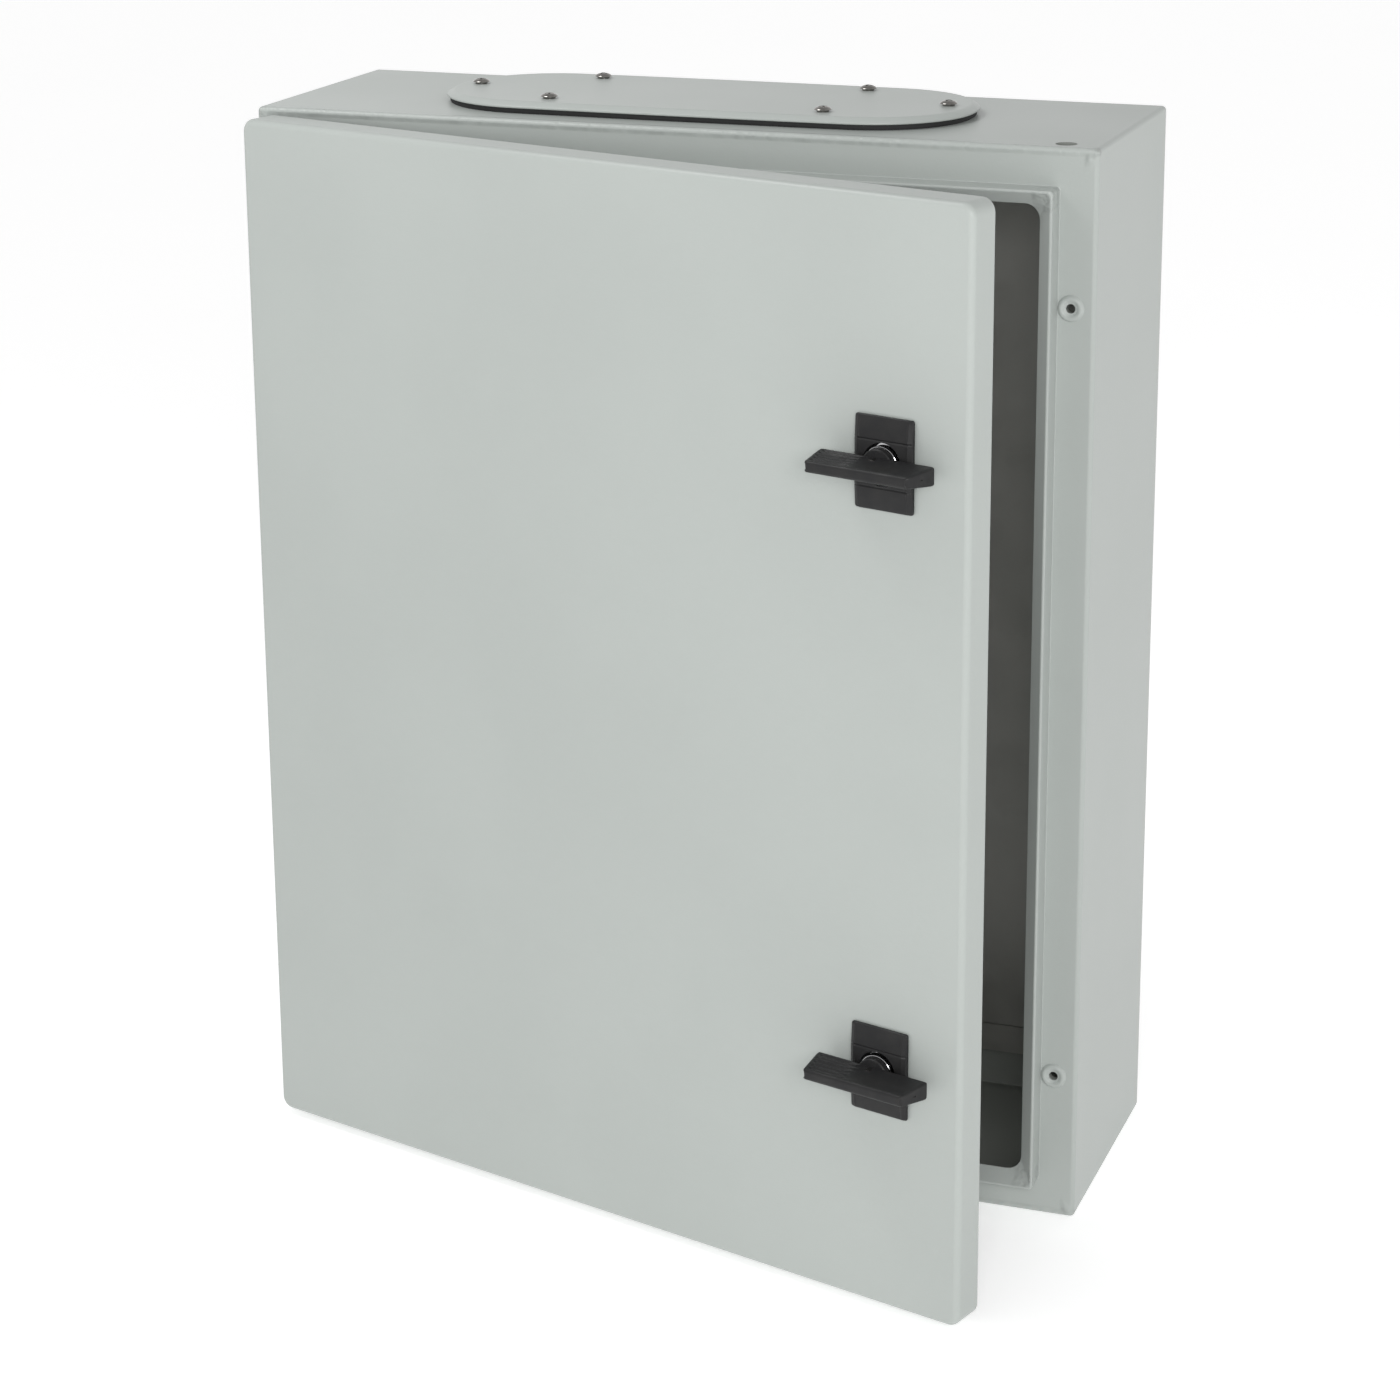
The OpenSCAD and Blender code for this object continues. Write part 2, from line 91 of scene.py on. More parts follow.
LIP_LOW, LIP_HIGH = (np.array(c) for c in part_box("rain_lip"))
FRONT_LOW, FRONT_HIGH = (np.array(c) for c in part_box("front_flange"))
HALF_W = FRONT_HIGH[0]
HALF_H = FRONT_HIGH[2]
FLANGE_Y = LIP_HIGH[1] - SHEET
BOSS_Y = FRONT_LOW[1]
LIP_Y = LIP_LOW[1]
FLANGE_W = HALF_W - LIP_HIGH[0]
DOOR_LOW, DOOR_HIGH = shut_box("door_panel")
FACE_Y = DOOR_LOW[1]
SKIN_Y = FACE_Y + SHEET
RIM_Y = DOOR_HIGH[1]
# The round hole in the top, and the thread bosses, which are level with the hinges.
TOP_HOLE_R = 4.7 * MM
TOP_HOLE = (HALF_W - 17 * MM, FLANGE_Y + 10 * MM, HALF_H)
BOSS_X, BOSS_Z = HALF_W - 11 * MM, 180 * MM


# ---------------------------------------------------------------- surfaces on a grid

def rounded_loop(half_w, half_h, r, arc=8):
    """Rounded rectangles, one to a row: each corner's centre plus r (cos t, sin t)."""
    half_w, half_h, r = (np.asarray(v, float)[..., None] for v in (half_w, half_h, r))
    quarter = np.arange(4).repeat(arc + 1)
    t = math.pi / 2 * (quarter + np.tile(np.linspace(0, 1, arc + 1), 4))
    side = np.where((quarter == 0) | (quarter == 3), 1, -1)
    level = np.where(quarter < 2, 1, -1)
    return side * (half_w - r) + r * np.cos(t), level * (half_h - r) + r * np.sin(t)


def arc_points(centre, r, start, end, steps=6):
    """Circular arc from start to end degrees: centre plus r (cos a, sin a)."""
    a = np.radians(np.linspace(start, end, steps + 1))
    return np.stack([centre[0] + r * np.cos(a), centre[1] + r * np.sin(a)], -1)


def even_loop(x, z, count):
    """The same closed outline at count points, equally far apart along it."""
    x, z = np.append(x, x[0]), np.append(z, z[0])
    run = np.append(0, np.cumsum(np.hypot(np.diff(x), np.diff(z))))
    at = np.linspace(0, run[-1], count, endpoint=False)
    return np.interp(at, run, x), np.interp(at, run, z)


def along_y(x, z, y):
    """Grid whose row i is the outline (x, z) number i at depth y[i]."""
    return np.stack([x, np.broadcast_to(np.asarray(y)[:, None], x.shape), z], -1)


def turned(profile, centre, axis="y", flats=None, steps=48):
    """Profile (radius, height) spun about an axis; flats cuts the radius to a hexagon of
    that apothem: apothem / cos(angle from the middle of the flat)."""
    profile = np.asarray(profile, float)
    t = np.linspace(0, 2 * math.pi, steps, endpoint=False)
    r = np.repeat(profile[:, :1], steps, 1)
    if flats:
        off = (t + math.pi / 6) % (math.pi / 3) - math.pi / 6
        r = np.minimum(r, flats / np.cos(off))
    h = np.repeat(profile[:, 1:], steps, 1)
    return about_axis(r * np.cos(t), r * np.sin(t), h, centre, axis)


def about_axis(a, b, h, centre, axis):
    """Places sections (a, b) at heights h along x, y or z through the centre."""
    order = {"x": (h, a, b), "y": (a, h, b), "z": (a, b, h)}[axis]
    return np.stack(order, -1) + np.asarray(centre, float)


def threaded(r, low, high, pitch, centre, axis="y", depth=0.6, steps=24):
    """Rod with a screw thread: r less a saw of (height / pitch - angle / turn), which
    fades out over one pitch at both ends, where the rod is chamfered."""
    rows = int((high - low) / pitch * 6) + 2
    h = np.linspace(low, high, rows)[:, None]
    t = np.linspace(0, 2 * math.pi, steps, endpoint=False)[None, :]
    saw = np.abs(((h / pitch - t / (2 * math.pi)) % 1) * 2 - 1)
    end = np.clip(np.minimum(h - low, high - h) / pitch, 0, 1)
    radius = r - depth * pitch * (saw * end + (1 - end))
    return about_axis(radius * np.cos(t), radius * np.sin(t), h + 0 * t, centre, axis)


def ring_profile(outer, inner, front, back, soft):
    """Closed section of a collar or washer with softened outer edges."""
    return [(inner, back), (inner, front + soft * 0.3), (inner + soft * 0.3, front),
            (outer - soft, front), (outer - soft * 0.3, front + soft * 0.3), (outer, front + soft),
            (outer, back - soft * 0.3), (outer - soft * 0.3, back)]


def nut_profile(apothem, inner, front, back):
    """Closed section of a hexagon nut with 30 degree chamfers."""
    tip = apothem / math.cos(math.pi / 6) + 0.05 * MM
    drop = (tip - apothem * 0.97) * 0.5
    return [(inner, back - 0.4 * MM), (inner, front + 0.4 * MM), (inner + 0.4 * MM, front),
            (apothem * 0.97, front), (tip, front + drop), (tip, back - drop),
            (apothem * 0.97, back), (inner + 0.4 * MM, back)]


def washer(r, bore, low, high, centre, axis="y", soft=0.25 * MM):
    """Flat ring between two places along the axis."""
    return turned(ring_profile(r, bore, low, high, soft), centre, axis), True


def hex_nut(apothem, bore, low, high, centre, axis="y"):
    """Hexagon nut between two places along the axis."""
    section = nut_profile(apothem, bore, low, high)
    return turned(section, centre, axis, flats=apothem, steps=72), True


def stud(r, low, high, pitch, centre, axis="y"):
    """Threaded rod between two places along the axis."""
    return threaded(r, low, high, pitch, centre, axis), False


def drill(r, centre, axis="y", reach=5 * MM, steps=48):
    """Round cutter that reaches as far to both sides of the centre."""
    return turned([(r, -reach), (r, reach)], centre, axis, steps=steps), False


def block(low, high, r=0.2 * MM):
    """Box whose four edges along Y are rounded."""
    low, high = np.minimum(low, high), np.maximum(low, high)
    mid, half = (low + high) / 2, (high - low) / 2
    x, z = rounded_loop(np.full(2, half[0]), np.full(2, half[2]), r, 2)
    return along_y(x + mid[0], z + mid[2], [low[1], high[1]])


def mesh_of(name, shells):
    """One mesh from closed grids. Each grid is rings of points, with flat ends or, when
    its rows close on themselves, none. Its faces look outwards: the sum of the signed
    tetrahedra under them is made positive."""
    verts, faces, start = [], [], 0
    for points, ring in shells:
        rows, cols = points.shape[:2]
        i = np.arange(rows if ring else rows - 1)[:, None]
        j = np.arange(cols)[None, :]
        here, there = i * cols, (i + 1) % rows * cols
        right = (j + 1) % cols
        quads = np.stack([here + j, here + right, there + right, there + j], -1).reshape(-1, 4)
        flat = points.reshape(-1, 3)
        a, b, c, d = (flat[quads[:, k]] for k in range(4))
        volume = np.sum(a * np.cross(b, c)) + np.sum(a * np.cross(c, d))
        ends = []
        if not ring:
            ends = [np.arange(cols)[::-1], (rows - 1) * cols + np.arange(cols)]
            for end in ends:
                e = flat[end]
                volume += np.sum(e.mean(0) * np.cross(e, np.roll(e, -1, 0)))
        flip = -1 if volume < 0 else 1
        faces += (quads[:, ::flip] + start).tolist() + [(e[::flip] + start).tolist() for e in ends]
        verts.append(flat)
        start += rows * cols
    mesh = bpy.data.meshes.new(name)
    mesh.from_pydata(np.concatenate(verts).tolist(), [], faces)
    return mesh


def carve(piece, shells, operation="DIFFERENCE", door=False):
    """Cuts the closed shells out of a piece, or joins them to it."""
    shells = [(ajar(p) if door else p, ring) for p, ring in shells]
    cutter = bpy.data.objects.new("cutter", mesh_of("cutter", shells))
    bpy.context.scene.collection.objects.link(cutter)
    cut = piece.modifiers.new("cut", "BOOLEAN")
    cut.operation = operation
    cut.solver = "EXACT"
    cut.object = cutter
    graph = bpy.context.evaluated_depsgraph_get()
    done = bpy.data.meshes.new_from_object(piece.evaluated_get(graph))
    piece.modifiers.remove(cut)
    piece.data = done
    bpy.data.objects.remove(cutter)


def piece_of(name, shells, door=False):
    """A new object in the scene from closed shells; door shells are drawn shut."""
    if door:
        shells = [(ajar(p), ring) for p, ring in shells]
    piece = bpy.data.objects.new(name, mesh_of(name, shells))
    bpy.context.scene.collection.objects.link(piece)
    return piece


def dress(piece, body, slot, nodes, crease=32):
    """Finish, smooth shading up to the crease angle, and what the piece stands for."""
    piece.data.materials.clear()
    piece.data.materials.append(FINISHES[slot])
    piece.data.shade_smooth()
    piece.data.set_sharp_from_angle(angle=math.radians(crease))
    level = piece.modifiers.new("even shading", "WEIGHTED_NORMAL")
    level.keep_sharp = True
    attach(piece, body)
    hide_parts(*nodes)


# ---------------------------------------------------------------- finishes

class Val:
    """A number from a node. Arithmetic on it adds Math nodes."""

    def __init__(self, finish, socket):
        self.finish, self.socket = finish, socket

    def math(self, operation, *others):
        return self.finish.node("ShaderNodeMath", {"operation": operation},
                                dict(enumerate((self,) + others)))

    def __add__(self, other):
        return self.math("ADD", other)

    def __sub__(self, other):
        return self.math("SUBTRACT", other)

    def __rsub__(self, other):
        return self.finish.node("ShaderNodeMath", {"operation": "SUBTRACT"}, {0: other, 1: self})

    def __mul__(self, other):
        return self.math("MULTIPLY", other)

    __radd__ = __add__
    __rmul__ = __mul__

    def ramp(self, low, high, to_low=0.0, to_high=1.0):
        """Smooth step from low to high."""
        return self.finish.node("ShaderNodeMapRange", {"interpolation_type": "SMOOTHSTEP"},
                                {0: self, 1: low, 2: high, 3: to_low, 4: to_high})


class Finish:
    """A procedural material on Object coordinates."""

    def __init__(self, name, metallic=0.0, ior=1.5):
        self.material = bpy.data.materials.new(name)
        self.material.use_nodes = True
        self.tree = self.material.node_tree
        self.tree.nodes.clear()
        self.shader = self.tree.nodes.new("ShaderNodeBsdfPrincipled")
        self.shader.inputs["Metallic"].default_value = metallic
        self.shader.inputs["IOR"].default_value = ior
        end = self.tree.nodes.new("ShaderNodeOutputMaterial")
        self.tree.links.new(self.shader.outputs[0], end.inputs[0])
        self.place = self.node("ShaderNodeTexCoord", out="Object")

    def node(self, kind, settings=None, inputs=None, out=0):
        """Any node: its settings first, then the values or links of its inputs."""
        made = self.tree.nodes.new(kind)
        for key, value in (settings or {}).items():
            setattr(made, key, value)
        for key, value in (inputs or {}).items():
            if isinstance(value, Val):
                self.tree.links.new(value.socket, made.inputs[key])
            else:
                made.inputs[key].default_value = value
        return Val(self, made.outputs[out])

    def axes(self):
        """x, y and z of the place, each as a number."""
        return [self.node("ShaderNodeSeparateXYZ", inputs={0: self.place}, out=k) for k in range(3)]

    def noise(self, size, detail=2.0, rough=0.5, place=None):
        """Noise whose patches are about size metres across."""
        return self.node("ShaderNodeTexNoise", inputs={
            "Vector": place or self.place, "Scale": 1 / size, "Detail": detail,
            "Roughness": rough})

    def stretched(self, scale):
        """The place, scaled along each axis."""
        return self.node("ShaderNodeMapping", inputs={"Vector": self.place, "Scale": scale})

    def mix(self, share, first, second):
        """Colour between first and second."""
        return self.node("ShaderNodeMix", {"data_type": "RGBA"},
                         {0: share, 6: first, 7: second}, out=2)

    def bump(self, height, depth, normal=None):
        """Normal bent by a height, over an earlier normal if there is one."""
        inputs = {"Height": height, "Distance": depth, "Strength": 1.0}
        if normal:
            inputs["Normal"] = normal
        return self.node("ShaderNodeBump", inputs=inputs)

    def set(self, **sockets):
        """Sets or links the shader's own sockets; _ stands for a space in a name."""
        for name, value in sockets.items():
            socket = self.shader.inputs[name.replace("_", " ")]
            if isinstance(value, Val):
                self.tree.links.new(value.socket, socket)
            else:
                socket.default_value = value
        return self.material


def shade(colour, factor):
    """The colour times a factor, as a node's four numbers."""
    return tuple(c * factor for c in colour) + (1.0,)


def painted_inside_shade(f, side, level, y):
    """Mask of the body's inner faces and of the wall of the round hole in its top, where shade is painted into the
    paint colour.
    """
    skin, half = 0.3 * MM, SHEET / 2
    mask = side.ramp(HALF_W - half - skin, HALF_W - half + skin, 1.0, 0.0)
    mask = mask * level.ramp(HALF_H - half - skin, HALF_H - half + skin, 1.0, 0.0)
    mask = mask * y.ramp(FLANGE_Y + half - skin, FLANGE_Y + half + skin)
    off = f.node("ShaderNodeVectorMath", {"operation": "DISTANCE"}, {0: f.place, 1: TOP_HOLE},
                 out="Value")
    hole = off.ramp(TOP_HOLE_R + 0.05 * MM, TOP_HOLE_R + skin, 1.0, 0.0)
    return mask.math("MAXIMUM", hole)


def ground_welds(f, side, level, y):
    """Height of the ground welds: a ripple along the top and bottom front bends, a seam and
    dents on the flange's mitres, and dabs in the inner corners of the lip."""
    in_side, in_level = HALF_W - side, HALF_H - level
    edge = level.ramp(HALF_H - 4 * MM, HALF_H - 1.5 * MM)
    front = y.ramp(FLANGE_Y + 1 * MM, FLANGE_Y + 5 * MM, 1.0, 0.0)
    ripple = f.noise(4 * MM, 1.5, place=f.stretched((1.0, 0.25, 0.25)))
    mitre = (in_side - in_level).math("ABSOLUTE")
    seam = mitre.ramp(0.2 * MM, 1.8 * MM, 1.0, 0.0) * front
    seam = seam * in_side.ramp(18 * MM, 26 * MM, 1.0, 0.0) * (f.noise(4 * MM, 2.0) + 0.35)
    on_lip = y.ramp(FLANGE_Y - 5 * MM, FLANGE_Y - 2 * MM, 1.0, 0.0)
    lip_in = 27 * MM
    corner = (side - (HALF_W - lip_in)).ramp(0.0, 3 * MM)
    corner = corner * (level - (HALF_H - lip_in)).ramp(0.0, 3 * MM)
    dabs = f.noise(3.2 * MM, 1.0) * on_lip * corner
    near = mitre.ramp(0.0, 5 * MM, 1.0, 0.0) * front * in_side.ramp(4 * MM, 7 * MM, 1.0, 0.0)
    dents = f.noise(3.6 * MM, 1.5) * near
    return ripple * edge * front + seam * 0.05 + dabs * 0.9 + dents * 1.6


def powder_coat(name, colour, body=False, specks=False):
    """Powder coat: two sizes of orange peel, faint clouds and a fine grain. On the body
    also the ground welds and painted shade that darkens the inside, on the door a few dark specks."""
    f = Finish(name, ior=1.48)
    f.set(Specular_IOR_Level=0.34)
    peel = f.noise(1.6 * MM, 1.5) * 0.62 + f.noise(0.55 * MM, 1.0) * 0.38
    clouds = f.noise(85 * MM, 2.0)
    grain = f.noise(0.35 * MM, 1.0)
    tint = f.mix(clouds.ramp(0.3, 0.7), shade(colour, 0.985), shade(colour, 1.012))
    tint = f.mix(grain.ramp(0.60, 0.82) * 0.10, tint, shade(colour, 0.80))
    if specks:
        spots = f.node("ShaderNodeTexVoronoi", inputs={"Vector": f.place, "Scale": 9.0})
        tint = f.mix(spots.ramp(0.0045, 0.0075, 0.55, 0.0), tint, shade(colour, 0.35))
    normal = f.bump(peel, 0.075 * MM)
    if body:
        x, y, z = f.axes()
        side, level = x.math("ABSOLUTE"), z.math("ABSOLUTE")
        # Painted shade: the paint on the inside faces and on the top hole's wall is darkened to stand for the
        # shade inside the box.
        shaded_paint = [c * k for c, k in zip(colour, INSIDE_PAINTED_SHADE)]
        tint = f.mix(painted_inside_shade(f, side, level, y), tint, (*shaded_paint, 1.0))
        normal = f.bump(ground_welds(f, side, level, y), 0.85 * MM, normal)
    return f.set(Base_Color=tint, Roughness=clouds.ramp(0.2, 0.8, 0.34, 0.40), Normal=normal)


def black_plastic(name):
    """Glass-filled nylon: fine spark grain, a little polished where fingers go."""
    f = Finish(name, ior=1.45)
    f.set(Specular_IOR_Level=0.3)
    grain = f.noise(0.32 * MM, 2.0, 0.6)
    wear = f.noise(9 * MM, 3.0)
    fresh, worn = (0.0115, 0.0115, 0.0122, 1.0), (0.0155, 0.0152, 0.0152, 1.0)
    tint = f.mix(wear.ramp(0.35, 0.7), fresh, worn)
    return f.set(Base_Color=tint, Roughness=wear.ramp(0.3, 0.75, 0.50, 0.38),
                 Normal=f.bump(grain, 0.05 * MM))


def plated(name, colour, low, high, grain, patch, depth):
    """Plated or bare metal: its roughness runs from low to high in patches, with fine
    lines as long as grain says."""
    f = Finish(name, metallic=1.0)
    lines = f.noise(0.5 * MM, 2.0, place=f.stretched(grain))
    cloud = f.noise(patch, 2.5)
    tint = f.mix(cloud.ramp(0.3, 0.7), shade(colour, 0.88), shade(colour, 1.08))
    return f.set(Base_Color=tint, Roughness=(lines * 0.4 + cloud * 0.6).ramp(0.3, 0.7, low, high),
                 Normal=f.bump(lines, depth))


def galvanised(name):
    """Hot-dip galvanised sheet: crystals a few millimetres across, each its own grey."""
    f = Finish(name, metallic=1.0)
    crystal = f.node("ShaderNodeTexVoronoi", {"distance": "EUCLIDEAN"},
                     {"Vector": f.place, "Scale": 1 / (7 * MM), "Randomness": 1.0}, out="Color")
    level = f.node("ShaderNodeSeparateColor", inputs={0: crystal})
    haze = f.noise(30 * MM, 3.0)
    dull, clear = (0.36, 0.355, 0.335, 1.0), (0.43, 0.425, 0.405, 1.0)
    tint = f.mix(level * 0.25 + haze * 0.75, dull, clear)
    rough = (level * 0.2 + haze * 0.8).ramp(0.2, 0.8, 0.46, 0.58)
    return f.set(Base_Color=tint, Roughness=rough,
                 Normal=f.bump(f.noise(1.2 * MM, 2.0), 0.03 * MM))


def soft_black(name, tone, cell, depth):
    """Rubber or foam: dark, matt, with cells of the given size."""
    f = Finish(name, ior=1.45)
    cells = f.node("ShaderNodeTexVoronoi", inputs={"Vector": f.place, "Scale": 1 / cell})
    cloud = f.noise(12 * MM, 3.0)
    black = (tone, tone, tone * 1.02)
    tint = f.mix(cloud.ramp(0.3, 0.7), shade(black, 0.8), shade(black, 1.25))
    return f.set(Base_Color=tint, Roughness=cloud.ramp(0.2, 0.8, 0.66, 0.82),
                 Normal=f.bump(cells, depth))


def pale_floor(name):
    """Faintly luminous white sweep, so that its far end doesn't fall off."""
    f = Finish(name)
    cloud = f.noise(0.4, 3.0)
    tint = f.mix(cloud, (0.90, 0.90, 0.90, 1), (0.93, 0.93, 0.93, 1))
    f.set(Emission_Color=WHITE, Emission_Strength=0.40)
    return f.set(Base_Color=tint, Roughness=cloud.ramp(0.2, 0.8, 0.7, 0.8),
                 Normal=f.bump(f.noise(3 * MM, 2.0), 0.02 * MM))


PAINT = (0.352, 0.376, 0.360)
# Painted shade: factors that darken the paint on the body's inside faces and top hole wall.
INSIDE_PAINTED_SHADE = (0.68, 0.67, 0.65)
ZINC, STEEL, CHROME = (0.62, 0.63, 0.66), (0.30, 0.29, 0.275), (0.52, 0.52, 0.53)
FINISHES = {
    "body_paint": powder_coat("body powder coat", PAINT, body=True),
    "door_paint": powder_coat("door powder coat", PAINT, specks=True),
    "gland_paint": powder_coat("gland plate powder coat", PAINT),
    "bracket_paint": powder_coat("hinge powder coat", shade(PAINT, 0.96)[:3]),
    "galvanised_sheet": galvanised("galvanised sheet"),
    "zinc_hardware": plated("bright zinc", ZINC, 0.22, 0.38, (1, 1, 1), 3 * MM, 0.02 * MM),
    "stainless": plated("stainless steel", STEEL, 0.12, 0.22, (1, 1, 6), 2 * MM, 0.015 * MM),
    "bright_collar": plated("bright chrome", CHROME, 0.05, 0.12, (1, 4, 1), 4 * MM, 0.004 * MM),
    "black_plastic": black_plastic("black nylon"),
    "rubber": soft_black("black rubber", 0.014, 0.6 * MM, 0.03 * MM),
    "foam_gasket": soft_black("foamed bead", 0.030, 0.9 * MM, 0.12 * MM),
}

for part in frame["record"]["subparts"]:
    for place in NODES[part["node"]].material_slots:
        place.material = FINISHES[part["material_slot"]]


# ---------------------------------------------------------------- body

# The lip stands on the flange's inner edge, and its return slopes back into the opening.
LIP_CREASE, LIP_TIP = 0.35 * MM, 0.8 * MM
LIP_IN = FLANGE_W - 1 * MM
RETURN_IN = FLANGE_W + 6 * MM
RETURN_LEAN = math.radians(-46)


def body_profile():
    """Section of the folded sheet as (inset from the outside, depth), from the middle of
    the back round the outside, over the flange and the lip with its sloping return, and
    back along the inside."""
    tip = (LIP_IN + LIP_TIP, LIP_Y + LIP_TIP)
    across = np.array([math.cos(RETURN_LEAN), math.sin(RETURN_LEAN)])
    back = np.array([-across[1], across[0]])
    start = np.array(tip) + LIP_TIP * across
    run = (RETURN_IN - 0.25 * MM - start[0]) / back[0]
    end = start + run * back
    inner = end - SHEET * across
    fold, fold_r = LIP_IN + SHEET, 1.5 * MM
    parts = [
        arc_points((BODY_BEND, -BODY_BEND), BODY_BEND, 90, 180),
        arc_points((BODY_BEND, FLANGE_Y + BODY_BEND), BODY_BEND, 180, 270),
        [(LIP_IN * 0.5, FLANGE_Y)],
        arc_points((LIP_IN - LIP_CREASE, FLANGE_Y - LIP_CREASE), LIP_CREASE, 90, 0, 4),
        arc_points(tip, LIP_TIP, 180, 360 + math.degrees(RETURN_LEAN), 9),
        [end - 0.3 * MM * back, end + 0.25 * MM * (back - across), inner + 0.1 * MM * back],
        [inner - run * 0.85 * back, (fold, LIP_Y + 3 * MM)],
        arc_points((fold - fold_r, FLANGE_Y + SHEET - fold_r), fold_r, 0, 90, 4),
        arc_points((BODY_BEND, FLANGE_Y + BODY_BEND), BODY_BEND - SHEET, 270, 180),
        arc_points((BODY_BEND, -BODY_BEND), BODY_BEND - SHEET, 180, 90),
    ]
    return np.concatenate([np.asarray(part, float) for part in parts])


def corner_radius(inset):
    """The outside bends close to a ball at the flange; the lip's corners open out
    towards the inside, where they are welded and ground."""
    sharp, lip_r, open_r = 0.3 * MM, 2 * MM, 7 * MM
    on_lip = np.clip(lip_r + 0.9 * (inset - FLANGE_W), lip_r, open_r)
    on_flange = np.interp(inset, [BODY_BEND, FLANGE_W], [sharp, lip_r])
    return np.where(inset < BODY_BEND, np.maximum(BODY_BEND - inset, sharp),
                    np.where(inset < FLANGE_W, on_flange, on_lip))


def thread_boss(at):
    """Dimpled ring round a thread, from (radius, height) in millimetres. Heights below
    zero stand in front of the flange, and under the hinge brackets they are pressed in."""
    ring = [(6.0, 0.6), (6.0, 0.0), (5.75, -0.35), (5.2, -0.95), (4.6, -1.2), (3.9, -1.15),
            (3.3, -0.8), (2.9, -0.5), (2.5, -0.42), (2.1, -0.3), (2.1, 3.6), (3.6, 3.6), (3.6, 0.6)]
    rise = (FLANGE_Y - BOSS_Y) / 1.2
    pressed, under = 0.9 * MM, 0.2 * MM
    section = [(r * MM, h * (rise if h < 0 else MM)) for r, h in ring]
    if at[0] < 0:
        section = [(r, h if h > 0 else min(h + pressed, under)) for r, h in section]
    return turned(section, at), True


def upright(x, y, low, high):
    """Outlines x and y as a shell from low to high."""
    return np.stack([x, y, np.array([[low], [high]]) + 0 * x], -1), False


inset, depth = body_profile().T
loop_x, loop_z = rounded_loop(HALF_W - inset, HALF_H - inset, corner_radius(inset), 7)
body_skin = piece_of("body_skin", [(along_y(loop_x, loop_z, depth), False)])

WALL_X, WALL_Z = 180 * MM, 230 * MM
WALL_HOLE_R, THREAD_R, GLAND_NUT_HOLE_R = 4.25 * MM, 2.1 * MM, 2.7 * MM
MOUTH_X, MOUTH_Y = 107 * MM, 27 * MM
GLAND_LOW, GLAND_HIGH = (np.array(c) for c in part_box("gland_plate"))
GLAND_Y = (GLAND_LOW[1] + GLAND_HIGH[1]) / 2
GLAND_SPOTS = [(side * 114.5 * MM, GLAND_Y) for side in (-1, 1)]
GLAND_SPOTS += [(side * 66 * MM, GLAND_Y + back * 34 * MM) for side, back in QUARTERS]
mouth_x, mouth_y = rounded_loop(np.full(2, MOUTH_X), np.full(2, MOUTH_Y), MOUTH_Y - 0.1 * MM, 12)
mouth_y = mouth_y + GLAND_Y
spots = [(side * BOSS_X, FLANGE_Y, level * BOSS_Z) for side, level in QUARTERS]
drills = [drill(WALL_HOLE_R, (side * WALL_X, 0, level * WALL_Z)) for side, level in QUARTERS]
drills += [drill(GLAND_NUT_HOLE_R, (x, y, HALF_H), "z", steps=24) for x, y in GLAND_SPOTS]
drills.append(drill(TOP_HOLE_R, TOP_HOLE, "z", steps=32))
drills.append(upright(mouth_x, mouth_y, HALF_H - 5 * MM, HALF_H + 5 * MM))
carve(body_skin, [drill(THREAD_R, at, reach=8 * MM, steps=32) for at in spots])
carve(body_skin, [thread_boss(at) for at in spots], "UNION")
carve(body_skin, drills)
dress(body_skin, "enclosure", "body_paint", ["body_shell", "front_flange", "rain_lip"])


# ---------------------------------------------------------------- door

def door_profile():
    """Section of the door as (inset, depth): face, bend, rim and back along the inside."""
    edge = 0.4 * MM
    parts = [
        arc_points((BEND, FACE_Y + BEND), BEND, 270, 180, 8),
        arc_points((edge, RIM_Y - edge), edge, 180, 90, 2),
        arc_points((SHEET - edge, RIM_Y - edge), edge, 90, 0, 2),
        arc_points((BEND, FACE_Y + BEND), BEND - SHEET, 180, 270, 4),
    ]
    return np.concatenate(parts)


DOOR_HALF_W, DOOR_HALF_H = DOOR_HIGH[0], DOOR_HIGH[2]
DOOR_CORNER = 6 * MM
LOCK_LOW, LOCK_HIGH = shut_box("lock_barrel_upper")
LOCK_X = (LOCK_LOW[0] + LOCK_HIGH[0]) / 2
LOCK_Z = (LOCK_LOW[2] + LOCK_HIGH[2]) / 2
LOCK_BORE_R = 10.3 * MM
NOTCH_HALF, NOTCH_DEEP, NOTCH_IN = 23 * MM, 14.5 * MM, 2.6 * MM

inset, depth = door_profile().T
loop_x, loop_z = rounded_loop(DOOR_HALF_W - inset, DOOR_HALF_H - inset, DOOR_CORNER - inset, 10)
door_skin = piece_of("door_skin", [(along_y(loop_x, loop_z, depth), False)], door=True)
drills = []
for level in (-1, 1):
    low = (-DOOR_HALF_W - MM, RIM_Y - NOTCH_DEEP, level * BOSS_Z - NOTCH_HALF)
    high = (-DOOR_HALF_W + NOTCH_IN, RIM_Y + 5 * MM, level * BOSS_Z + NOTCH_HALF)
    drills.append((block(low, high), False))
    drills.append(drill(LOCK_BORE_R, (LOCK_X, FACE_Y, level * LOCK_Z), steps=64))
carve(door_skin, drills, door=True)
dress(door_skin, "door", "door_paint", ["door_panel"])


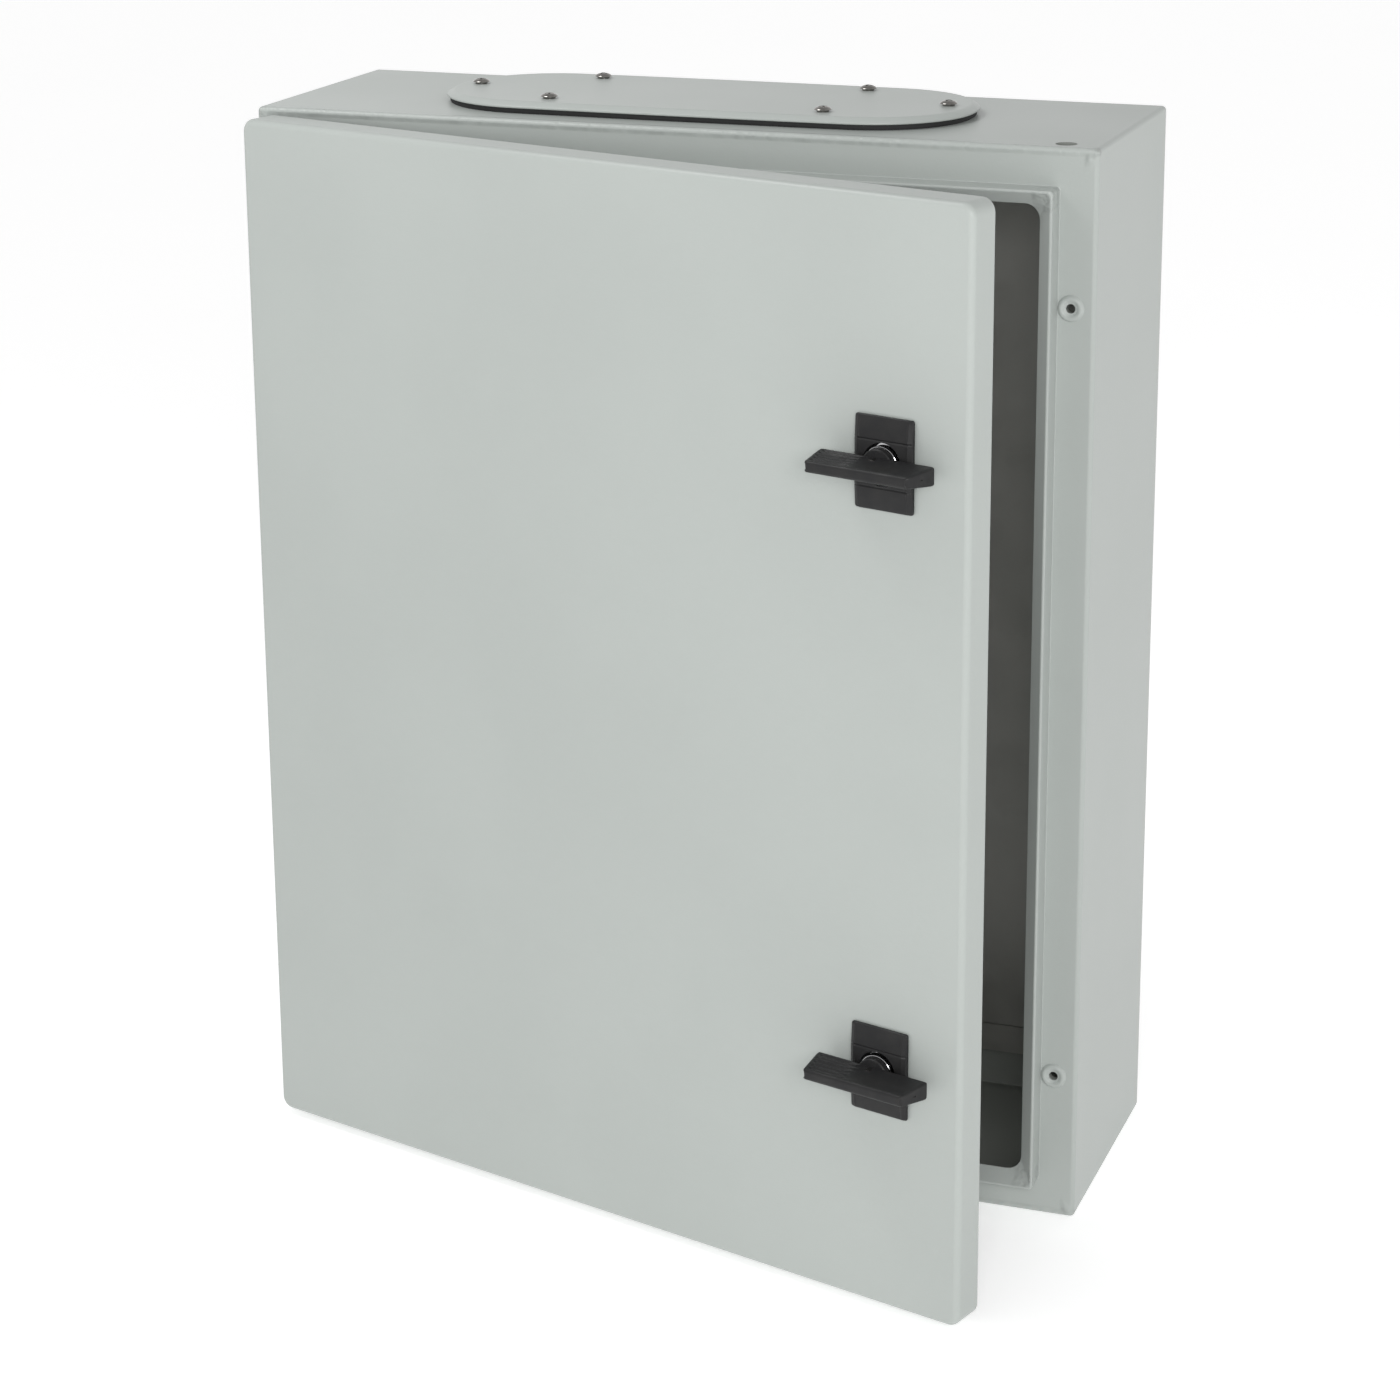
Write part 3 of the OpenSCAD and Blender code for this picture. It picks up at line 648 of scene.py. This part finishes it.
def door_seal():
    """Foamed bead: a low arch carried round the door, its height rippling a little."""
    low, high = shut_box("door_gasket")
    width, tall = 11 * MM, high[1] - low[1]
    a = np.linspace(0, math.pi, 13)
    off = width / 2 * np.cos(a)
    rise = tall * np.sin(a) ** 0.7
    x, z = rounded_loop(high[0] - width / 2 + off, high[2] - width / 2 + off, 9 * MM + off, 8)
    even = [even_loop(*pair, 640) for pair in zip(x, z)]
    x, z = (np.array([e[k] for e in even]) for k in (0, 1))
    run = np.linspace(0, 2 * math.pi, x.shape[1], endpoint=False)
    wave = 0.975 + 0.015 * np.sin(61 * run) + 0.01 * np.sin(97 * run + 1)
    y = SKIN_Y + rise[:, None] * wave
    y[[0, -1]] = SKIN_Y
    return np.stack([x, y, z], -1)


seal = piece_of("door_seal_bead", [(door_seal(), True)], door=True)
dress(seal, "door", "foam_gasket", ["door_gasket"], crease=60)


# ---------------------------------------------------------------- gland plate

GLAND_BOW = 1.2 * MM
COVER_CORNER, GASKET_CORNER = 47 * MM, 45 * MM


def slab(rows, half_l, half_w, corner):
    """Flat-ended slab from rows (inset, height). Its ends are round, and its long sides
    bow out by GLAND_BOW in the middle: 1 less the square of the distance along them."""
    inset, height = np.asarray(rows, float).T
    x, y = rounded_loop(half_l - inset, half_w - GLAND_BOW - inset, corner - inset, 16)
    even = [even_loop(*pair, 260) for pair in zip(x, y)]
    x, y = (np.array([e[k] for e in even]) for k in (0, 1))
    along = np.clip(1 - (x / (half_l - 34 * MM)) ** 2, 0, 1)
    y = y + np.sign(y) * GLAND_BOW * along * np.clip(np.abs(y) / (half_w * 0.8), 0, 1)
    return np.stack([x, y + GLAND_Y, height[:, None] + 0 * x], -1), False


half_l, half_wide = GLAND_HIGH[0], (GLAND_HIGH[1] - GLAND_LOW[1]) / 2
low, high = GLAND_LOW[2], GLAND_HIGH[2]
cover_rows = [(3 * MM, low + 0.02 * MM), (0.3 * MM, low + 0.02 * MM), (0, low + 0.35 * MM),
              (0.05 * MM, low + 0.9 * MM), (0.5 * MM, low + 1.35 * MM),
              (2.6 * MM, high - 0.42 * MM), (3.4 * MM, high - 0.1 * MM), (4.4 * MM, high)]
cover = piece_of("gland_cover", [slab(cover_rows, half_l, half_wide, COVER_CORNER)])
carve(cover, [drill(2.3 * MM, (x, y, high), "z", reach=9 * MM, steps=24) for x, y in GLAND_SPOTS])
dress(cover, "enclosure", "gland_paint", ["gland_plate"])

seal_low, seal_high = (np.array(c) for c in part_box("gland_gasket"))
soft, soft_z = 0.3 * MM, 0.6 * MM
gasket_rows = [(soft, seal_low[2]), (0, seal_low[2] + soft_z), (0, seal_high[2] - soft_z),
               (soft, seal_high[2])]
gasket = piece_of("gland_seal", [
    slab(gasket_rows, seal_high[0], half_wide - 1.5 * MM, GASKET_CORNER)])
carve(gasket, [upright(mouth_x, mouth_y, seal_low[2] - 3 * MM, seal_high[2] + 3 * MM)])
dress(gasket, "enclosure", "rubber", ["gland_gasket"])


def pan_screw(r, tall, shank_r, length, centre, axis, up=1):
    """Domed head with a rolled rim on a narrow neck, and its shank. It stands along the
    axis, or against it where up is -1."""
    cap = np.linspace(0.02, 0.93, 9)
    dome = [(r * c, tall * (0.30 + 0.70 * math.sqrt(1 - c ** 2))) for c in cap]
    rim = [(r * 0.985, tall * 0.48), (r, tall * 0.42), (r * 0.975, tall * 0.35)]
    neck = [(r * 0.74, tall * 0.31), (r * 0.70, 0.0), (shank_r, 0.0), (shank_r, -length)]
    return turned([(a, up * h) for a, h in dome + rim + neck], centre, axis, steps=40)


def cut_cross(piece, centre, axis, size, rows, turn):
    """Cuts a screw's recess with two crossed blades, tapered over three rows along the axis."""
    x, y = rounded_loop(size * np.array([0.55, 1.0, 1.0]), size * np.array([0.16, 0.22, 0.22]),
                        size * np.full(3, 0.12), 2)
    h = np.array(rows)[:, None] + 0 * x
    for a in (turn, turn + math.pi / 2):
        c, s = math.cos(a), math.sin(a)
        carve(piece, [(about_axis(x * c - y * s, x * s + y * c, h, centre, axis), False)])


HEAD_R, HEAD_T = 4 * MM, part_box("gland_screws")[1][2] - high
SHANK_R, SHANK_L = 2 * MM, 16 * MM
heads = piece_of("gland_screw_set", [
    (pan_screw(HEAD_R, HEAD_T, SHANK_R, SHANK_L, (x, y, high), "z"), False)
    for x, y in GLAND_SPOTS])
for number, (x, y) in enumerate(GLAND_SPOTS):
    cut_cross(heads, (x, y, high), "z", 2.1 * MM, (1.0 * MM, 1.9 * MM, 4 * MM),
              0.35 + 0.83 * number)
dress(heads, "enclosure", "stainless", ["gland_screws"])


# ---------------------------------------------------------------- locks

FACE_SHARE = 0.86


def escutcheon(low, high):
    """Bowed plate: the section across it, with sloping side strips, is carried upwards
    while its thickness falls from the creases towards both ends. Section rows are (side,
    inset in millimetres, share of the thickness), and between the creases the face
    crowns to its full thickness by 1 less the square of the height."""
    mid_x, mid_z = (low[0] + high[0]) / 2, (low[2] + high[2]) / 2
    half_w, half_h = (high[0] - low[0]) / 2, (high[2] - low[2]) / 2
    thick, thin, groove = high[1] - low[1], 1.5 * MM, 0.35 * MM
    crease = 0.5
    level = np.array([-1, -0.985, -0.955, -0.9, -0.7, -0.53, -0.5, -0.47, -0.2, 0.2, 0.47, 0.5,
                      0.53, 0.7, 0.9, 0.955, 0.985, 1])
    away, ends = np.abs(level), [0.955, 0.985, 1]
    size = np.interp(away, [0, crease, 1], [thick, thick, thin])
    size = size * np.interp(away, ends, [1, 0.9, 0.62])
    size = size - np.interp(away, [crease - 0.03, crease, crease + 0.03], [0, groove, 0])
    pull = np.interp(away, ends, [0, 0.25 * MM, 0.8 * MM])
    half = [(0, 0), (0, 0.45), (0.35, 0.62), (1.9, 0.93), (2.4, 0.93), (2.8, FACE_SHARE),
            (3.3, FACE_SHARE)]
    section = np.array([(-1, *row) for row in half] + [(1, *row) for row in half[::-1]])
    side, inset, share = section.T
    x = mid_x + side * (half_w - pull[:, None] - inset * MM)
    crown = FACE_SHARE + (1 - FACE_SHARE) * np.clip(1 - (away[:, None] / crease) ** 2, 0, 1)
    y = high[1] - size[:, None] * np.where(share == FACE_SHARE, crown, share)
    z = mid_z + level[:, None] * half_h + 0 * x
    return np.stack([x, y, z], -1)


GRIP_DEEP = 17


def wing(low, high):
    """Grip of the wing: half its length shrinks and half its thickness thins with the
    distance s from the door, in millimetres. Five lengthwise grooves, each a cosine dip,
    run on the left, and all edges are rounded over."""
    mid_x, mid_z = (low[0] + high[0]) / 2, (low[2] + high[2]) / 2
    half_l = (high[0] - low[0]) / 2 / MM
    back_y = low[1] + GRIP_DEEP * MM
    front = [15.9, 16.35, 16.7, 16.92, GRIP_DEEP]
    s = np.concatenate([[0, 0.25, 0.8], np.linspace(1.2, 15.4, 85), front])
    half = np.interp(s, [0, 0.25, 0.8, 15] + front,
                     [3.2, 3.75, 4.05, 2.62, 2.5, 2.3, 1.95, 1.5, 1.0])
    dip, half_groove, groove_deep = np.zeros_like(s), 0.95, 0.8
    for middle in np.linspace(2.4, 14.0, 5):
        dip += np.cos(np.clip((s - middle) / half_groove, -1, 1) * math.pi / 2)
    u = np.concatenate([[-1, -0.992, -0.975, -0.95, -0.91, -0.885, -0.86],
                        np.linspace(-0.8, 0, 9), [0.06, 0.1, 0.14, 0.18],
                        np.linspace(0.25, 0.95, 8), [0.975, 0.992, 1]])
    reach = half_l + np.interp(s, [0, 2.5, 16, GRIP_DEEP], [0, 0, -2.5, -3.5])
    groove = groove_deep * np.interp(u, [-0.93, -0.88, -0.3, -0.2], [0, 1, 1, 0])
    shrink = np.interp(np.abs(u), [0.95, 0.975, 0.992, 1], [0, 0.06, 0.3, 0.75])
    top = half - groove[:, None] * dip - shrink[:, None]
    x = mid_x + u[:, None] * reach * MM
    over = shrink[:, None] * 0.6
    y = back_y - np.clip(s, over, GRIP_DEEP - over) * MM
    upper = np.stack([x, y, mid_z + top * MM], -1)
    lower = np.stack([x, y, mid_z - top * MM], -1)[:, ::-1]
    return np.concatenate([upper, lower], 1)


def collar_section(front, back, bore):
    """Bright ring at the front of a lock barrel, its threaded body and rounded back end."""
    rim = front + 0.9 * MM
    section = [(bore, rim + 0.7 * MM), (7.3 * MM, rim + 0.7 * MM), (7.4 * MM, rim + 0.1 * MM),
               (7.5 * MM, rim), (7.8 * MM, rim), (8.0 * MM, rim + 0.15 * MM),
               (8.1 * MM, rim + 0.5 * MM), (8.1 * MM, FACE_Y - 0.7 * MM)]
    crest, deep = 9.9 * MM, 0.28 * MM
    steps = np.arange(FACE_Y - 0.5 * MM, back - 0.6 * MM, 0.25 * MM)
    section += [(crest - deep * abs((k % 4) / 2 - 1), y) for k, y in enumerate(steps)]
    return section + [(9.3 * MM, back), (bore + 0.3 * MM, back), (bore, back - 0.3 * MM)]


ESCUTCHEON_BORE_R, BARREL_BORE_R = 9.4 * MM, 6.06 * MM
MARK_IN, MARK_SIZE = (26.4 * MM, 5.8 * MM, -0.25 * MM), (3 * MM, 3.6 * MM, 0.5 * MM)
LOCK_NUT_IN, LOCK_NUT_BORE = 13.5 * MM, 9.93 * MM

for word in ("upper", "lower"):
    low, high = shut_box("escutcheon_" + word)
    mid = np.array([(low[0] + high[0]) / 2, 0, (low[2] + high[2]) / 2])
    plate = piece_of("escutcheon_plate_" + word, [(escutcheon(low, high), False)], door=True)
    through = [(ESCUTCHEON_BORE_R, low[1] - 5 * MM), (ESCUTCHEON_BORE_R, high[1] + 5 * MM)]
    carve(plate, [(turned(through, mid), False)], door=True)
    dress(plate, "door", "black_plastic", ["escutcheon_" + word], crease=16)

    low, high = shut_box("wing_" + word)
    grip = piece_of("wing_grip_" + word, [(wing(low, high), False)], door=True)
    hub_y = low[1] + 16 * MM
    hub = [(7.0 * MM, hub_y), (7.5 * MM, hub_y + 0.6 * MM),
           (7.5 * MM, high[1] + 0.9 * MM), (7.1 * MM, high[1] + 1.1 * MM)]
    carve(grip, [(turned(hub, mid), False)], "UNION", door=True)
    mark = mid + (0, low[1], 0) + MARK_IN
    carve(grip, [(block(mark, mark + MARK_SIZE, 0.1 * MM), False)], door=True)
    dress(grip, "lock_" + word, "black_plastic", ["wing_" + word], crease=24)

    low, high = shut_box("lock_barrel_" + word)
    section = collar_section(low[1], high[1], BARREL_BORE_R)
    barrel = piece_of("collar_" + word, [(turned(section, mid, steps=96), True)], door=True)
    dress(barrel, "door", "bright_collar", ["lock_barrel_" + word])

    low, high = shut_box("lock_nut_" + word)
    nut = piece_of("back_nut_" + word, [
        hex_nut(LOCK_NUT_IN, LOCK_NUT_BORE, low[1], high[1], mid)], door=True)
    dress(nut, "door", "zinc_hardware", ["lock_nut_" + word])


# ---------------------------------------------------------------- plate and studs inside

PLATE_LOW, PLATE_HIGH = (np.array(c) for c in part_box("mounting_plate"))
STUD_HIGH = np.array(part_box("plate_studs")[1])
STUD_R = 4 * MM
stud_x, stud_z = STUD_HIGH[0] - STUD_R, STUD_HIGH[2] - STUD_R


def joggled_plate():
    """Plate of one gauge whose lower edge steps back: its section (depth, height) is
    carried across the width, and two flat strips are folded back along the sides."""
    gauge, step, strip = 2 * MM, 1.2 * MM, 14 * MM
    front, foot, top = PLATE_LOW[1], PLATE_LOW[2], PLATE_HIGH[2]
    face = [(front + step, foot), (front + step, foot + strip), (front, foot + strip + step),
            (front, top)]
    back = [(y + gauge, z) for y, z in face[::-1]]
    section = np.array(face + back)
    ends = [PLATE_LOW[0], PLATE_HIGH[0]]
    sheet = np.array([[(x, y, z) for y, z in section] for x in ends])
    inner = 25 * MM
    sides = [block((x, front + gauge / 2, foot + inner), (x - s * gauge, PLATE_HIGH[1], top - inner))
             for x, s in zip(ends, (-1, 1))]
    return [(sheet, False)] + [(side, False) for side in sides]


PLATE_BORE_R = 4.5 * MM
plate = piece_of("apparatus_plate_sheet", joggled_plate())
through = [(PLATE_BORE_R, PLATE_LOW[1] - MM), (PLATE_BORE_R, PLATE_HIGH[1] + MM)]
carve(plate, [(turned(through, (side * stud_x, 0, level * stud_z)), False)
              for side, level in QUARTERS])
dress(plate, "enclosure", "galvanised_sheet", ["mounting_plate"])


def corner_set(name, node, r, make, *sizes, **more):
    """Four alike parts of outer radius r, one by each corner of the mounting plate."""
    low, high = (np.array(c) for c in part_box(node))
    x, z = high[0] - r, high[2] - r
    piece = piece_of(name, [make(*sizes, low[1], high[1], centre=(side * x, 0, level * z), **more)
                            for side, level in QUARTERS])
    dress(piece, "enclosure", "zinc_hardware", [node])


corner_set("welded_studs", "plate_studs", STUD_R, stud, STUD_R, pitch=1.25 * MM)
corner_set("corner_washers", "plate_washers", 8 * MM, washer, 8 * MM, 4.2 * MM, soft=0.3 * MM)
corner_set("corner_nuts", "plate_nuts", 7.5 * MM, hex_nut, 6.5 * MM, 4.02 * MM)


# ---------------------------------------------------------------- small fasteners

def cam_bolt_section(front, back):
    """Bolt that holds a cam: its shank, and a head with a chamfered outer face."""
    shank, root, tip = 2.5 * MM, back - 3.5 * MM, 4.65 * MM
    return [(shank, front + 0.4 * MM), (shank, root), (3.9 * MM, root), (tip, root + 0.35 * MM),
            (tip, back - 0.45 * MM), (3.9 * MM, back - 0.03 * MM), (3.0 * MM, back)]


CAM_BOLT_IN = 4 * MM

for word, level in (("upper", 1), ("lower", -1)):
    seat = (-BOSS_X, FLANGE_Y - 2 * MM, level * BOSS_Z)
    shape = pan_screw(4.6 * MM, 2.8 * MM, 2.08 * MM, 8.9 * MM, seat, "y", up=-1)
    screw = piece_of("hinge_screw_" + word + "_set", [(shape, False)])
    cut_cross(screw, seat, "y", 2.3 * MM, (-1.0 * MM, -1.9 * MM, -4 * MM), 0.5 * level)
    dress(screw, "enclosure", "stainless", ["hinge_screw_" + word])

    mid = (LOCK_X, 0, level * LOCK_Z)
    low, high = shut_box("cam_washer_" + word)
    disc = piece_of("cam_disc_" + word, [washer(7 * MM, 2.7 * MM, low[1], high[1], mid)], door=True)
    dress(disc, "lock_" + word, "zinc_hardware", ["cam_washer_" + word])
    low, high = shut_box("cam_bolt_" + word)
    shape = turned(cam_bolt_section(low[1], high[1]), mid, flats=CAM_BOLT_IN, steps=72)
    bolt = piece_of("cam_bolt_hex_" + word, [(shape, False)], door=True)
    dress(bolt, "lock_" + word, "zinc_hardware", ["cam_bolt_" + word])


def earth_set(body, ride, find, k):
    """M6 stud, washer and nut along axis k, where find says each one's node is."""
    parts = {}
    for word in ("stud", "washer", "nut"):
        parts[word] = find(body + "_earth_" + word)
    centre = (np.array(parts["stud"][0]) + np.array(parts["stud"][1])) / 2
    centre[k] = 0
    spans = {word: (low[k], high[k]) for word, (low, high) in parts.items()}
    axis = "xyz"[k]
    made = {
        "stud": stud(3 * MM, *spans["stud"], 1 * MM, centre, axis),
        "washer": washer(6.5 * MM, 3.1 * MM, *spans["washer"], centre, axis),
        "nut": hex_nut(5 * MM, 3.02 * MM, *spans["nut"], centre, axis),
    }
    for word, shell in made.items():
        piece = piece_of(body + "_earth_" + word + "_set", [shell], door=ride == "door")
        dress(piece, ride, "zinc_hardware", [body + "_earth_" + word])


earth_set("body", "enclosure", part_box, 0)
earth_set("door", "door", shut_box, 1)


# ---------------------------------------------------------------- floor, light, camera

FLOOR_HALF, FLOOR_Z = 6.0, -HALF_H - 0.3 * MM
floor_mesh = bpy.data.meshes.new("floor")
floor_mesh.from_pydata([(side * FLOOR_HALF, back * FLOOR_HALF, FLOOR_Z)
                        for side, back in ((-1, -1), (1, -1), (1, 1), (-1, 1))],
                       [], [(0, 1, 2, 3)])
floor = bpy.data.objects.new("floor", floor_mesh)
floor.data.materials.append(pale_floor("pale floor"))
bpy.context.scene.collection.objects.link(floor)


def soft_light(name, place, aim, size, power):
    """A large rectangular studio light."""
    data = bpy.data.lights.new(name, "AREA")
    data.shape = "RECTANGLE"
    data.size, data.size_y = size
    data.energy = power
    lamp = bpy.data.objects.new(name, data)
    lamp.location = place
    lamp.rotation_euler = (Vector(aim) - Vector(place)).to_track_quat("-Z", "Y").to_euler()
    bpy.context.scene.collection.objects.link(lamp)


soft_light("front right", (0.85, -1.9, 0.62), (0.08, -0.14, 0.1), (0.9, 0.6), 20)
soft_light("right strip", (1.35, -0.65, -0.3), (0.2, -0.13, 0.0), (0.3, 1.1), 1.8)
soft_light("top left", (-0.35, -0.32, 0.82), (-0.12, -0.1, 0.25), (0.3, 0.3), 2.4)

# The studio's own light is even low down and fades towards the zenith.
FADE = {1: 0.15, 2: 0.85, 3: 1.0, 4: 0.45}
world = bpy.data.worlds.new("studio")
world.use_nodes = True
tree = world.node_tree
sky = tree.nodes["Background"]
sky.inputs[0].default_value = WHITE
way = tree.nodes.new("ShaderNodeTexCoord")
height = tree.nodes.new("ShaderNodeSeparateXYZ")
fade = tree.nodes.new("ShaderNodeMapRange")
for number, value in FADE.items():
    fade.inputs[number].default_value = value
tree.links.new(way.outputs["Generated"], height.inputs[0])
tree.links.new(height.outputs[2], fade.inputs[0])
tree.links.new(fade.outputs[0], sky.inputs[1])
bpy.context.scene.world = world
bpy.context.scene.view_settings.view_transform = "Standard"

CAMERA_AT = Vector((0.5457, -1.5776, 0.4931))
CAMERA_AIM = Vector((0.0176, -0.131, 0.0654))
CAMERA_ROLL = math.radians(-0.37)
lens = bpy.data.cameras.new("camera")
lens.sensor_width = 36.0
lens.lens = 89.82
lens.shift_y = -0.1214
camera = bpy.data.objects.new("camera", lens)
look = (CAMERA_AIM - CAMERA_AT).to_track_quat("-Z", "Y").to_matrix().to_4x4()
camera.matrix_world = Matrix.Translation(CAMERA_AT) @ look @ Matrix.Rotation(CAMERA_ROLL, 4, "Z")
bpy.context.scene.collection.objects.link(camera)
bpy.context.scene.camera = camera
